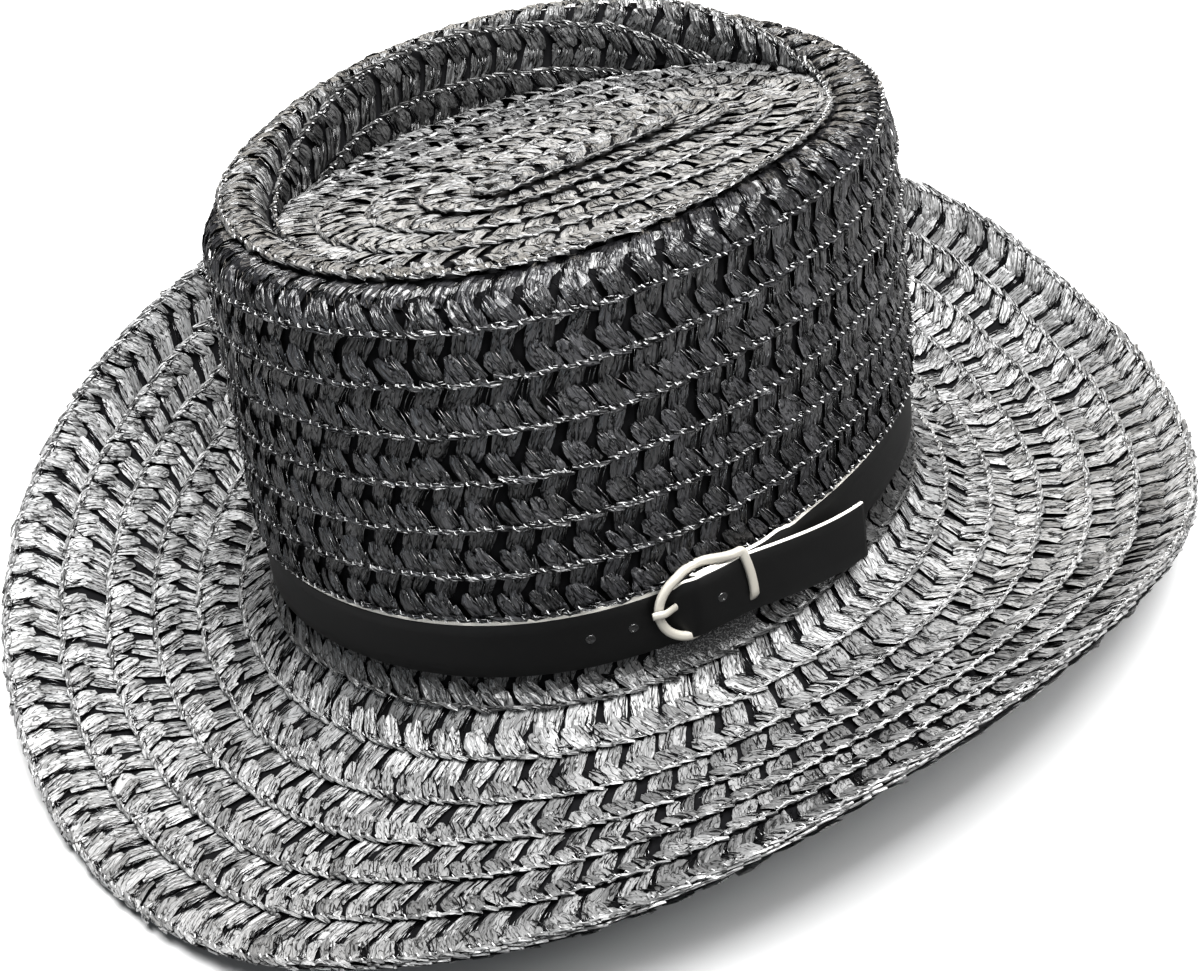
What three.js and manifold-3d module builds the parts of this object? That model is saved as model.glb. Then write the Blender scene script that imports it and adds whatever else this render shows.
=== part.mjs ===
// Sun hat of sewn paper braid, with a belt and buckle round the foot of its crown.
// Millimetres, +Z up. The front of the hat faces -Y and the wearer's left is +X.
import * as THREE from 'three';
import ManifoldModule from 'manifold-3d';

const wasm = await ManifoldModule();
wasm.setup();
const { Manifold, Mesh: SolidMesh } = wasm;

// Straw
const braidThickness = 2.5;

// Crown, outside
const footLength = 205;
const footWidth = 172.4;
const ovalFullness = 0.03;
const crownHeight = 116;
const taperLength = 3.2;
const taperWidth = 9;
const sideBulge = 0.7;
const leanLeft = 8.3;
const leanFront = 3.3;
const rimRadius = 8;
const rimRoll = 10;
const tipSink = 10.2;
const tipRiseLeft = 4.8; // degrees
const tipRiseFront = 4.1; // degrees
const tipSlotLength = 64;
const tipSlotWidth = 4;
const beltRecess = 2;
const rowLip = 2;

// Brim
const brimWidth = 87;
const edgeRound = 0.8;
const restDent = 0.6;

// Belt
const strapWidth = 17.6;
const strapThickness = 1;
const strapFoot = 6;
const foldLength = 18;
const tailLength = 58;
const tailDroop = 5.6;
const beltHoleWidth = 1.8;
const beltHolePitch = 11;
const beltHoleCount = 5;

// Buckle
const buckleToward = -30.5;
const frameHeight = 24.5;
const frameRoundEnd = 13.6;
const frameKeeper = 12;
const frameWire = 2.3;
const frameThickness = 1.6;
const barRadius = 0.8;
const roundEndRise = 1.2;
const prongWidth = 1.4;
const prongThickness = 0.9;
const prongReach = 15.4;
const prongSlotLength = 6;
const prongSlotWidth = 3;
const eyeSlotLength = 6.4;
const eyeSlotWidth = 3;

// Backing patch
const patchLength = 29;
const patchFall = 3;
const patchThickness = 0.8;

// Clearance between pieces that touch
const gap = 0.3;

// Sides of the meshes
const crownSides = 72;
const brimSides = 84;
const brimSteps = 11;

// The rolled rim of the crown by direction in degrees: the height of its top as a share of
// crownHeight, and how far it rolls inward beyond its top as a share of rimRoll
const rimTable = [
  { toward: 0, top: 0.985, roll: 0.5 },
  { toward: 45, top: 0.925, roll: 0.7 },
  { toward: 90, top: 0.965, roll: 0.6 },
  { toward: 135, top: 1.045, roll: 0.45 },
  { toward: 180, top: 1.075, roll: 0.4 },
  { toward: 225, top: 1.01, roll: 0.8 },
  { toward: 270, top: 0.985, roll: 1.1 },
  { toward: 315, top: 0.995, roll: 0.35 },
];

// The brim by direction in degrees: its width as a share of brimWidth, and its slope in degrees
// at six places from the foot to the edge, negative where it falls away from the crown
const brimStops = { foot: 0, inner: 0.18, middle: 0.36, outer: 0.54, verge: 0.72, edge: 1 };
const brimTable = [
  { toward: 0, width: 1.05, foot: -59, inner: -18, middle: 4, outer: 17, verge: 25, edge: 34 },
  { toward: 30, width: 1.06, foot: -77, inner: -33, middle: -8, outer: 7, verge: 18, edge: 31 },
  { toward: 60, width: 1.07, foot: -80, inner: -34, middle: -7, outer: 10, verge: 23, edge: 40 },
  { toward: 90, width: 1.04, foot: -62, inner: -14, middle: 14, outer: 32, verge: 46, edge: 64 },
  { toward: 120, width: 1.0, foot: -72, inner: -30, middle: -4, outer: 14, verge: 30, edge: 48 },
  { toward: 150, width: 0.98, foot: -64, inner: -18, middle: 18, outer: 42, verge: 58, edge: 72 },
  { toward: 180, width: 0.99, foot: -34, inner: 26, middle: 56, outer: 69, verge: 77, edge: 86 },
  { toward: 210, width: 1.01, foot: -45, inner: 0, middle: 20, outer: 31, verge: 37, edge: 44 },
  { toward: 240, width: 1.0, foot: -70, inner: -32, middle: -13, outer: -4, verge: 1, edge: 5 },
  { toward: 270, width: 1.01, foot: -74, inner: -37, middle: -20, outer: -11, verge: -5, edge: 1 },
  { toward: 300, width: 1.0, foot: -61, inner: -23, middle: -5, outer: 4, verge: 8, edge: 11 },
  { toward: 330, width: 1.02, foot: -51, inner: -12, middle: 8, outer: 18, verge: 23, edge: 29 },
];

const radians = THREE.MathUtils.degToRad;
const mix = THREE.MathUtils.lerp;
const vector = (x, y, z) => new THREE.Vector3(x, y, z);

// A column of a table that goes round the hat in even steps, smoothly between its rows
function around(table, column, angle) {
  const count = table.length;
  const turn = THREE.MathUtils.euclideanModulo(angle / (2 * Math.PI), 1) * count;
  const row = Math.floor(turn);
  const share = turn - row;
  const [a, b, c, d] = [-1, 0, 1, 2].map((step) => table[(row + step + count) % count][column]);
  const bend = 2 * a - 5 * b + 4 * c - d + share * (3 * (b - c) + d - a);
  return b + 0.5 * share * (c - a + share * bend);
}

// The oval of a ring whose half width and half length are given
function ovalPoint(halfWidth, halfLength, angle, height) {
  const full = 1 + (ovalFullness * (1 - Math.cos(4 * angle))) / 2;
  return vector(halfWidth * full * Math.cos(angle), halfLength * full * Math.sin(angle), height);
}

// Directions in the plan of the hat: outward from an oval
function ovalOutward(halfWidth, halfLength, angle) {
  const step = 0.001;
  const before = ovalPoint(halfWidth, halfLength, angle - step, 0);
  const along = ovalPoint(halfWidth, halfLength, angle + step, 0).sub(before).normalize();
  return vector(along.y, -along.x, 0);
}

const strapTop = strapFoot + strapWidth;

// The crown is drawn in under the belt, below the lip of the row above it
function recessAt(height) {
  return beltRecess * (1 - THREE.MathUtils.smoothstep(height, strapTop + gap, strapTop + gap + rowLip));
}

// The outside of the crown's wall at a height above its foot, moved inward by an inset
function sidePoint(angle, height, inset = 0) {
  const share = height / crownHeight;
  const grown = 4 * sideBulge * share * (1 - share) - recessAt(height) - inset;
  const halfWidth = footWidth / 2 - taperWidth * share + grown;
  const halfLength = footLength / 2 - taperLength * share + grown;
  return ovalPoint(halfWidth, halfLength, angle, height).add(vector(leanLeft * share, -leanFront * share, 0));
}

const sideOutward = (angle) => ovalOutward(footWidth / 2, footLength / 2, angle);

// The tip is a flat oval that rises toward the wearer's left and toward the front
function tipHeight(x, y) {
  const level = crownHeight - tipSink;
  return level + x * Math.tan(radians(tipRiseLeft)) - y * Math.tan(radians(tipRiseFront));
}

// A closed skin over rings of points, each ring as long as the next. Round a loop of rings
// the last joins the first, otherwise the first and last rings are capped from their middles.
function skin(rings, loop) {
  const size = rings[0].length;
  const positions = rings.flat().flatMap((point) => point.toArray());
  const faces = [];
  const bands = loop ? rings.length : rings.length - 1;
  for (let band = 0; band < bands; band += 1) {
    const near = band * size;
    const far = ((band + 1) % rings.length) * size;
    for (let side = 0; side < size; side += 1) {
      const next = (side + 1) % size;
      faces.push([near + side, near + next, far + next], [near + side, far + next, far + side]);
    }
  }
  if (!loop) {
    for (const [ring, first, forward] of [[rings[0], 0, false], [rings.at(-1), positions.length / 3 - size, true]]) {
      const middle = ring.reduce((sum, point) => sum.add(point), vector(0, 0, 0)).divideScalar(size);
      const centre = positions.length / 3;
      positions.push(...middle.toArray());
      for (let side = 0; side < size; side += 1) {
        const next = first + ((side + 1) % size);
        faces.push(forward ? [first + side, next, centre] : [next, first + side, centre]);
      }
    }
  }
  return outwardGeometry(positions, faces);
}

// A geometry whose faces are turned outward
function outwardGeometry(positions, faces) {
  const at = (index) => vector().fromArray(positions, 3 * index);
  const volume = faces.reduce((sum, [a, b, c]) => sum + at(a).dot(at(b).cross(at(c))), 0);
  const turned = volume < 0 ? faces.map(([a, b, c]) => [a, c, b]) : faces;
  const geometry = new THREE.BufferGeometry();
  geometry.setAttribute('position', new THREE.Float32BufferAttribute(positions, 3));
  geometry.setIndex(turned.flat());
  geometry.computeVertexNormals();
  return geometry;
}

function ringOf(sides, pointAt) {
  return Array.from({ length: sides }, (_, side) => pointAt((2 * Math.PI * side) / sides));
}

function piece(name, geometry, color, roughness, metalness = 0) {
  const material = new THREE.MeshStandardMaterial({ color, roughness, metalness });
  const mesh = new THREE.Mesh(geometry, material);
  mesh.name = name;
  return mesh;
}

// A point of the rim: turn 0 at the top of the side, a quarter turn at the top of the rim and
// half a turn at the crease of the tip. The wall's inner face is thinner by its thickness.
function rimPoint(angle, turn, thickness) {
  const top = crownHeight * around(rimTable, 'top', angle);
  const shoulder = top - rimRadius;
  if (turn <= Math.PI / 2) {
    const radius = rimRadius - thickness;
    const inset = rimRadius - radius * Math.cos(turn);
    return sidePoint(angle, shoulder, inset).setZ(shoulder + radius * Math.sin(turn));
  }
  const ease = turn - Math.PI / 2;
  const roll = rimRoll * around(rimTable, 'roll', angle);
  const crease = sidePoint(angle, shoulder, rimRadius + roll);
  const sunk = mix(top, tipHeight(crease.x, crease.y), 1 - Math.cos(ease));
  const inset = rimRadius + (roll - thickness) * Math.sin(ease);
  return sidePoint(angle, shoulder, inset).setZ(sunk - thickness);
}

// A point of the tip, from its crease at share 0 to the slot in its middle at share 1
function tipPoint(angle, share, thickness) {
  const crease = rimPoint(angle, Math.PI, 0);
  const slot = ovalPoint(tipSlotWidth / 2, tipSlotLength / 2, angle, 0);
  const x = mix(crease.x, slot.x + leanLeft, share);
  const y = mix(crease.y, slot.y - leanFront, share);
  return vector(x, y, tipHeight(x, y) - thickness);
}

// Crown: the side, the rolled rim and the sunken tip as one wall
function crown() {
  const lowHeights = [gap / 2, strapTop / 2, strapTop + gap, strapTop + gap + rowLip];
  const wall = (thickness) => {
    const low = lowHeights.map((height) => ringOf(crownSides, (angle) => sidePoint(angle, height, thickness)));
    const high = [0.3, 0.6, 0.85].map((share) => ringOf(crownSides, (angle) => {
      const shoulder = crownHeight * around(rimTable, 'top', angle) - rimRadius;
      return sidePoint(angle, mix(lowHeights.at(-1), shoulder, share), thickness);
    }));
    const turns = [0, 30, 60, 90, 125, 155, 180].map(radians);
    const rim = turns.map((turn) => ringOf(crownSides, (angle) => rimPoint(angle, turn, thickness)));
    const tip = [0.35, 0.7, 1].map((share) => ringOf(crownSides, (angle) => tipPoint(angle, share, thickness)));
    return [...low, ...high, ...rim, ...tip];
  };
  return piece('crown', skin([...wall(0).reverse(), ...wall(braidThickness)], false), 0x5a5a5c, 0.75);
}

// The brim's slope in radians at a share of its width
function brimSlope(angle, share) {
  const stops = Object.entries(brimStops);
  const last = Math.max(1, stops.findIndex(([, stop]) => stop >= share));
  const [[lowName, low], [highName, high]] = [stops[last - 1], stops[last]];
  const inStop = (share - low) / (high - low);
  return radians(mix(around(brimTable, lowName, angle), around(brimTable, highName, angle), inStop));
}

// The brim's upper face, from the foot at step 0 to the edge at brimSteps
function brimProfile(angle) {
  const finer = 4;
  const width = brimWidth * around(brimTable, 'width', angle);
  const stride = width / (brimSteps * finer);
  const places = [{ out: 0, up: 0, slope: brimSlope(angle, 0) }];
  let [out, up] = [0, 0];
  for (let step = 1; step <= brimSteps * finer; step += 1) {
    const slope = brimSlope(angle, (step - 0.5) / (brimSteps * finer));
    out += stride * Math.cos(slope);
    up += stride * Math.sin(slope);
    if (step % finer === 0) {
      places.push({ out, up, slope: brimSlope(angle, step / (brimSteps * finer)) });
    }
  }
  return places;
}

// A point of the brim, some depth under its upper face and some reach beyond its edge
function brimPoint(angle, step, depth, reach = 0) {
  const { out, up, slope } = brimProfile(angle)[step];
  const turn = step === 0 ? -Math.PI / 2 : slope;
  const beyond = out + depth * Math.sin(turn) + reach * Math.cos(slope);
  const height = up - depth * Math.cos(turn) + reach * Math.sin(slope) - gap / 2;
  return sidePoint(angle, 0).addScaledVector(sideOutward(angle), beyond).setZ(height);
}

// The plane that the hat rests on: of the planes through three points of the brim's underside
// with none below them, the one that passes under the middle of the hat
function restingPlane(points) {
  let best = null;
  const count = points.length;
  for (let a = 0; a < count; a += 1) {
    for (let b = a + 1; b < count; b += 1) {
      for (let c = b + 1; c < count; c += 1) {
        const plane = new THREE.Plane().setFromCoplanarPoints(points[a], points[b], points[c]);
        if (plane.normal.z < 0) plane.negate();
        const heightAtMiddle = -plane.constant / plane.normal.z;
        if (best && heightAtMiddle <= best.heightAtMiddle) continue;
        if (points.every((point) => plane.distanceToPoint(point) > -1e-6)) {
          best = { plane, heightAtMiddle };
        }
      }
    }
  }
  return best.plane;
}

function lowestBrimPoints() {
  const steps = Array.from({ length: brimSteps }, (_, step) => step + 1);
  return ringOf(brimSides, (angle) => angle).map((angle) => {
    const column = steps.map((step) => brimPoint(angle, step, braidThickness));
    return column.reduce((low, point) => (point.z < low.z ? point : low));
  });
}

// The floor, a little above the lowest straw, which its own weight presses flat there
const floor = restingPlane(lowestBrimPoints());
floor.constant -= restDent;

function brim() {
  const steps = Array.from({ length: brimSteps + 1 }, (_, step) => step);
  const upper = steps.map((step) => ringOf(brimSides, (angle) => brimPoint(angle, step, 0)));
  const edge = ringOf(brimSides, (angle) => brimPoint(angle, brimSteps, braidThickness / 2, edgeRound));
  const lower = steps.map((step) => ringOf(brimSides, (angle) => {
    const point = brimPoint(angle, step, braidThickness);
    const under = Math.min(0, floor.distanceToPoint(point));
    return point.addScaledVector(floor.normal, -under);
  }));
  return piece('brim', skin([...upper, edge, ...lower.reverse()], true), 0x8a8a8c, 0.7);
}

// Places along the foot of the crown: the distance from the buckle's bar, counted toward the back
const footTrace = (() => {
  const count = 720;
  const start = radians(buckleToward);
  const angles = Array.from({ length: count + 1 }, (_, step) => start + (2 * Math.PI * step) / count);
  const points = angles.map((angle) => sidePoint(angle, 0));
  const lengths = [0];
  for (let step = 1; step <= count; step += 1) {
    lengths.push(lengths.at(-1) + points[step].distanceTo(points[step - 1]));
  }
  return { angles, lengths, whole: lengths.at(-1) };
})();

function footAngle(distance) {
  const { angles, lengths, whole } = footTrace;
  const along = THREE.MathUtils.euclideanModulo(distance, whole);
  const step = Math.min(lengths.findIndex((length) => length > along), lengths.length - 1) || 1;
  const share = (along - lengths[step - 1]) / (lengths[step] - lengths[step - 1]);
  return mix(angles[step - 1], angles[step], share);
}

// A point beside the crown: distance along its foot, level out from its wall under the belt and
// height over its foot
function beside(distance, level, height) {
  const angle = footAngle(distance);
  const wall = sidePoint(angle, Math.min(height, strapTop + gap));
  return wall.addScaledVector(sideOutward(angle), level).setZ(height);
}

const strapMiddle = strapFoot + strapWidth / 2;

// Levels of the belt's layers and of the buckle, out from the crown's wall under the belt. The bar
// and the frame pass in front of the lip above the belt.
const strapLevel = gap + strapThickness / 2;
const barLevel = Math.max(2 * gap + strapThickness + barRadius, beltRecess + gap + frameThickness / 2);
const loopRadius = barRadius + gap + strapThickness / 2;
const tailLevel = barLevel + loopRadius + strapThickness + gap;
const keeperLevel = tailLevel + strapThickness / 2 + gap + frameThickness / 2;
const roundEndLevel = barLevel + roundEndRise;

// The belt's middle line: round the bar, round the crown, under the frame's round end,
// over the bar and under the keeper to its free tail
function beltLine() {
  const { whole } = footTrace;
  const line = [foldLength, foldLength / 2, 0].map((distance) => [distance, barLevel - loopRadius]);
  for (const turn of [30, 60, 90, 120, 150].map(radians)) {
    line.push([-loopRadius * Math.sin(turn), barLevel - loopRadius * Math.cos(turn)]);
  }
  for (const distance of [0, foldLength / 2, foldLength]) line.push([distance, barLevel + loopRadius]);
  const settled = foldLength + 14;
  line.push([foldLength + 5, mix(barLevel + loopRadius, strapLevel, 0.35)]);
  line.push([settled, strapLevel]);
  const returned = whole - 0.74 * frameRoundEnd;
  const spans = 76;
  for (let span = 1; span <= spans; span += 1) {
    line.push([mix(settled, returned, span / spans), strapLevel]);
  }
  for (const [share, risen] of [[0.59, 0.1], [0.456, 0.27], [0.29, 0.6], [0.16, 0.87]]) {
    line.push([whole - share * frameRoundEnd, mix(strapLevel, tailLevel, risen)]);
  }
  for (const distance of [0, 6, frameKeeper, 20, 30, 40, 50, tailLength]) line.push([whole + distance, tailLevel]);
  return line;
}

// How far the free tail hangs below the belt's middle
function beltDroop(distance) {
  const free = distance - footTrace.whole - frameKeeper;
  return free > 0 ? (tailDroop * free) / (tailLength - frameKeeper) : 0;
}

function ribbonSections(line, thickness, spread) {
  return line.map(([distance, level], index) => {
    const before = line[Math.max(0, index - 1)];
    const after = line[Math.min(line.length - 1, index + 1)];
    const [run, rise] = [after[0] - before[0], after[1] - before[1]];
    const length = Math.hypot(run, rise);
    const corners = [[-1, -1], [-1, 1], [1, 1], [1, -1]];
    return corners.map(([face, side]) => {
      const away = (face * thickness) / 2;
      const [low, high] = spread(distance);
      const place = distance - (away * rise) / length;
      return beside(place, level + (away * run) / length, side < 0 ? low : high);
    });
  });
}

const asSolid = (geometry) => new Manifold(new SolidMesh({
  numProp: 3,
  vertProperties: Float32Array.from(geometry.attributes.position.array),
  triVerts: Uint32Array.from(geometry.index.array),
}));

function asGeometry(solid) {
  const mesh = solid.getMesh();
  const faces = Array.from({ length: mesh.numTri }, (_, index) => [...mesh.triVerts.slice(3 * index, 3 * index + 3)]);
  return outwardGeometry([...mesh.vertProperties], faces);
}

// A plug through the belt, as long and as wide as the hole that it makes
function holePlug(distance, length, width, inner, outer) {
  const sides = 10;
  const ring = (level) => Array.from({ length: sides }, (_, side) => {
    const turn = (2 * Math.PI * side) / sides;
    const height = strapMiddle + (width / 2) * Math.sin(turn);
    return beside(distance + (length / 2) * Math.cos(turn), level, height);
  });
  return asSolid(skin([ring(inner), ring(outer)], false));
}

const prongHole = -0.51 * frameRoundEnd;

function hatStrap() {
  const spread = (distance) => {
    const middle = strapMiddle - beltDroop(distance);
    return [middle - strapWidth / 2, middle + strapWidth / 2];
  };
  const ribbon = asSolid(skin(ribbonSections(beltLine(), strapThickness, spread), false));
  const holes = [];
  for (let hole = -2; hole <= beltHoleCount - 3; hole += 1) {
    const distance = prongHole + hole * beltHolePitch;
    if (hole < 0) holes.push(holePlug(distance, beltHoleWidth, beltHoleWidth, -1, 3));
    if (hole > 0) holes.push(holePlug(distance, beltHoleWidth, beltHoleWidth, barLevel + loopRadius + 0.6, 9));
  }
  holes.push(holePlug(prongHole, prongSlotLength, prongSlotWidth, -1, tailLevel));
  holes.push(holePlug(-1.2, eyeSlotLength, eyeSlotWidth, -1, tailLevel - strapThickness / 2 - gap / 2));
  const strap = ribbon.subtract(Manifold.union(holes));
  return piece('hat_strap', asGeometry(strap), 0x141416, 0.5);
}

// The frame dips from its round end to the bar, then rises over the tail
function frameLevel(distance) {
  const toRoundEnd = THREE.MathUtils.smoothstep(-distance, 0, 0.45 * frameRoundEnd);
  const toKeeper = THREE.MathUtils.smoothstep(distance, 1.5, frameKeeper - 1);
  return barLevel + roundEndRise * toRoundEnd + (keeperLevel - barLevel) * toKeeper;
}

// A flat wire along a line of places [distance, level, height], closed into a loop or capped.
// It lies flat to the crown, or on edge with its width upright.
function wire(line, width, thickness, { loop = false, onEdge = false } = {}) {
  const count = line.length;
  const pick = (index) => line[loop ? (index + count) % count : THREE.MathUtils.clamp(index, 0, count - 1)];
  const sections = line.map(([distance, level, height], index) => {
    const middle = beside(distance, level, height);
    const along = beside(...pick(index + 1)).sub(beside(...pick(index - 1))).normalize();
    const outward = sideOutward(footAngle(distance));
    const across = onEdge ? vector(0, 0, 1) : along.clone().cross(outward).normalize();
    const up = across.clone().cross(along).normalize();
    const sides = 8;
    const corner = Math.cos(Math.PI / sides);
    return Array.from({ length: sides }, (_, side) => {
      const turn = (2 * Math.PI * (side + 0.5)) / sides;
      const point = middle.clone().addScaledVector(across, (width / 2 / corner) * Math.cos(turn));
      return point.addScaledVector(up, (thickness / 2 / corner) * Math.sin(turn));
    });
  });
  return skin(sections, loop);
}

function buckleFrame() {
  const half = (frameHeight - frameWire) / 2;
  const keeper = frameKeeper;
  const roundEnd = -frameRoundEnd + frameWire / 2;
  const roundCentre = roundEnd + half;
  const outline = [];
  for (const share of [0.12, 0.35, 0.65, 0.88]) outline.push([keeper, mix(-half, half, share)]);
  outline.push([keeper - 0.3, half - 0.3]);
  for (const share of [0.12, 0.3, 0.5, 0.7, 0.88]) outline.push([mix(keeper, roundCentre, share), half]);
  for (let turn = 90; turn <= 270; turn += 18) {
    const around = radians(turn);
    outline.push([roundCentre + half * Math.cos(around), half * Math.sin(around)]);
  }
  for (const share of [0.88, 0.7, 0.5, 0.3, 0.12]) outline.push([mix(keeper, roundCentre, share), -half]);
  outline.push([keeper - 0.3, 0.3 - half]);
  const line = outline.map(([distance, height]) => [distance, frameLevel(distance), strapMiddle + height]);
  const frame = asSolid(wire(line, frameWire, frameThickness, { loop: true }));
  const bar = [-1, -0.5, 0, 0.5, 1].map((share) => [0, barLevel, strapMiddle + half * share]);
  const hinge = asSolid(wire(bar, 2 * barRadius, 2 * barRadius));
  return piece('buckle_frame', asGeometry(frame.add(hinge)), 0xcfcdc8, 0.45, 0.6);
}

// The pin: an eye round the bar, then up through its hole to its tip on the round end
function bucklePin() {
  const eyeRadius = barRadius + gap + prongThickness / 2;
  const tipLevel = roundEndLevel + frameThickness / 2 + gap + prongThickness / 2;
  const eye = [];
  for (let turn = 130; turn >= -130; turn -= 20) {
    const around = radians(turn);
    eye.push([eyeRadius * Math.cos(around), barLevel + eyeRadius * Math.sin(around)]);
  }
  const shank = [[0.31, -0.25], [0.44, -0.2], [0.59, 0.2], [0.73, 0.72], [0.84, 1]].map(([share, risen]) => {
    return [-share * frameRoundEnd, mix(barLevel, tipLevel, risen)];
  });
  const line = [...eye, ...shank, [-prongReach, tipLevel]].map((place) => [...place, strapMiddle]);
  return piece('buckle_prong', wire(line, prongWidth, prongThickness, { onEdge: true }), 0xcfcdc8, 0.45, 0.6);
}

// The patch of knitted cloth below the belt: down the crown's foot and out over the brim
function backingPatch() {
  const place = (distance, share, level) => {
    const height = mix(strapFoot - gap, -patchFall, share);
    if (height >= 0) return beside(distance, level, height);
    const angle = footAngle(distance);
    const out = -height / Math.tan(-brimSlope(angle, 0.04));
    return sidePoint(angle, 0).addScaledVector(sideOutward(angle), out + level).setZ(height);
  };
  const rows = [0, 0.25, 0.5, 0.75, 1];
  const spans = 10;
  const sections = Array.from({ length: spans + 1 }, (_, span) => {
    const distance = patchLength * (span / spans - 0.5) - 0.5;
    const inner = rows.map((share) => place(distance, share, 1.4 * gap));
    const outer = rows.map((share) => place(distance, share, 1.4 * gap + patchThickness)).reverse();
    return [...inner, ...outer];
  });
  return piece('backing_patch', skin(sections, false), 0x26262a, 0.95);
}

// The hat as it rests: turned so that its floor is level, then set on the floor over the origin
const hat = new THREE.Group();
hat.add(crown(), brim(), hatStrap(), buckleFrame(), bucklePin(), backingPatch());
hat.quaternion.setFromUnitVectors(floor.normal, vector(0, 0, 1));
const box = new THREE.Box3().setFromObject(hat, true);
const middle = box.getCenter(vector(0, 0, 0));
hat.position.set(-middle.x, -middle.y, floor.constant);

const part = new THREE.Group();
part.add(hat);
export default part;
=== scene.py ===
"""The looks of a sun hat of sewn black paper braid, with a coated belt and a flat wire buckle.

Sizes here are millimetres in the hat's own frame, with the foot of the crown at height 0. Each
finished piece is turned and set on the floor as the solids are, in metres.
"""
import math
import bpy
import numpy as np
from mathutils import Matrix, Quaternion, Vector


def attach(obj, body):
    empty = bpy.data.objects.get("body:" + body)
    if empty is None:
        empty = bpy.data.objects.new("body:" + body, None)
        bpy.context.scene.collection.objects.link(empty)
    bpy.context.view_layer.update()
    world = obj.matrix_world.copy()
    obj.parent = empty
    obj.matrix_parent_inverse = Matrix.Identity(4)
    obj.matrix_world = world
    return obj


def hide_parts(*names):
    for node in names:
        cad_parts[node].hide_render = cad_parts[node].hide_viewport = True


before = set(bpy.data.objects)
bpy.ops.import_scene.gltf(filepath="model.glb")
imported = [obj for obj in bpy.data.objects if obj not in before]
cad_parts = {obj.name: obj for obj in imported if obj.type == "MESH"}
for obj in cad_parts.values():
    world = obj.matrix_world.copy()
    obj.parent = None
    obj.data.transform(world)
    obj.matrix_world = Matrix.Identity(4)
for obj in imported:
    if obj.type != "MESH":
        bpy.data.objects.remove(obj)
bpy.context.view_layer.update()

MM = 0.001
TURN = 2 * math.pi

# How the hat rests on its brim, and where
REST_TURN = Quaternion((0.99967738, -0.01902478, -0.01682822, 0.0))
REST_SHIFT = Vector((-9.7403, 2.6793, 24.5498))

# Crown
FOOT_LENGTH = 205.0
FOOT_WIDTH = 172.4
OVAL_FULLNESS = 0.03
CROWN_HEIGHT = 116.0
TAPER_LENGTH = 3.2
TAPER_WIDTH = 9.0
SIDE_BULGE = 0.7
LEAN_LEFT = 8.3
LEAN_FRONT = 3.3
RIM_RADIUS = 8.0
RIM_ROLL = 10.0
TIP_SINK = 10.2
TIP_RISE_LEFT = math.radians(4.8)
TIP_RISE_FRONT = math.radians(4.1)
BELT_RECESS = 2.0
ROW_LIP = 2.0

# Brim
BRIM_WIDTH = 87.0
WALL = 2.5

# Belt
STRAP_WIDTH = 17.6
STRAP_THICKNESS = 1.0
STRAP_FOOT = 6.0
FOLD_LENGTH = 18.0
TAIL_LENGTH = 56.5
TAIL_DROOP = 6.4
BELT_HOLE = 1.8
BELT_HOLE_PITCH = 11.0

# Buckle
BUCKLE_TOWARD = math.radians(-30.5)
FRAME_HEIGHT = 22.4
FRAME_ROUND_END = 12.6
FRAME_KEEPER = 12.0
FRAME_WIRE = 2.5
FRAME_THICKNESS = 1.6
BAR_RADIUS = 0.8
ROUND_END_RISE = 1.2
PRONG_WIDTH = 2.2
PRONG_THICKNESS = 1.1
PRONG_REACH = 13.2
BUCKLE_RISE = 3.4
BUCKLE_ROLL = math.radians(6)
KEEPER_BOW = 1.1

# Backing patch
PATCH_LENGTH = 29.0
PATCH_FALL = 3.0
PATCH_THICKNESS = 0.8

GAP = 0.3
STRAP_TOP = STRAP_FOOT + STRAP_WIDTH
STRAP_MIDDLE = STRAP_FOOT + STRAP_WIDTH / 2
STRAP_PROUD = 0.5

# The rolled rim every 45 degrees: its top as a share of CROWN_HEIGHT, its roll of RIM_ROLL
RIM = {
    "top": [0.985, 0.925, 0.965, 1.045, 1.075, 1.01, 0.985, 0.995],
    "roll": [0.5, 0.7, 0.6, 0.45, 0.4, 0.8, 1.1, 0.35],
}

# The brim every 30 degrees: its width as a share of BRIM_WIDTH, and its slope in degrees
BRIM = {
    "width": [1.05, 1.06, 1.07, 1.04, 1.0, 0.98, 0.99, 1.01, 1.0, 1.01, 1.0, 1.02],
    "foot": [-59, -77, -80, -62, -72, -64, -34, -45, -70, -74, -61, -51],
    "inner": [-18, -33, -34, -14, -30, -18, 26, 0, -32, -37, -23, -12],
    "middle": [4, -8, -7, 14, -4, 18, 56, 20, -13, -20, -5, 8],
    "outer": [17, 7, 10, 32, 14, 42, 69, 31, -4, -11, 4, 18],
    "verge": [25, 18, 23, 46, 30, 58, 77, 37, 1, -5, 8, 23],
    "edge": [34, 31, 40, 64, 48, 72, 86, 44, 5, 1, 11, 29],
}
BRIM_STOPS = {"foot": 0.0, "inner": 0.18, "middle": 0.36, "outer": 0.54, "verge": 0.72, "edge": 1.0}

# Braid: one repeat along a row, the pitch of the rows, and where rows end
REPEAT = 8.7
PITCH = 13.4
CROWN_PITCH = 13.36
TIP_PITCH = 13.3
CROWN_LINE = 26.3
CROWN_ROWS = 12
WALL_ROWS = 7
BRIM_LINE = 4.3
BRIM_SHARES = [0.0, 0.163, 0.326, 0.488, 0.651, 0.815, 1.0]

# In mm, how deep a row is tucked under the one before and how far it climbs to its outer edge.
# The brim's rows lie flatter and take this share of both
ROW_TUCK = 0.75
ROW_CLIMB = 1.35
BRIM_STEP = 0.6

# How far a strand strays: along, across and up in mm, its swing in radians, its growth and its lean
STRAY = [0.38, 0.24, 0.09]
SWING = 0.105
GROWTH = 0.13
LEAN = 0.15

# How far apart in mm the strands' maps may start, so that no two show the same creases
MAP_SPREAD = 300

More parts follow.
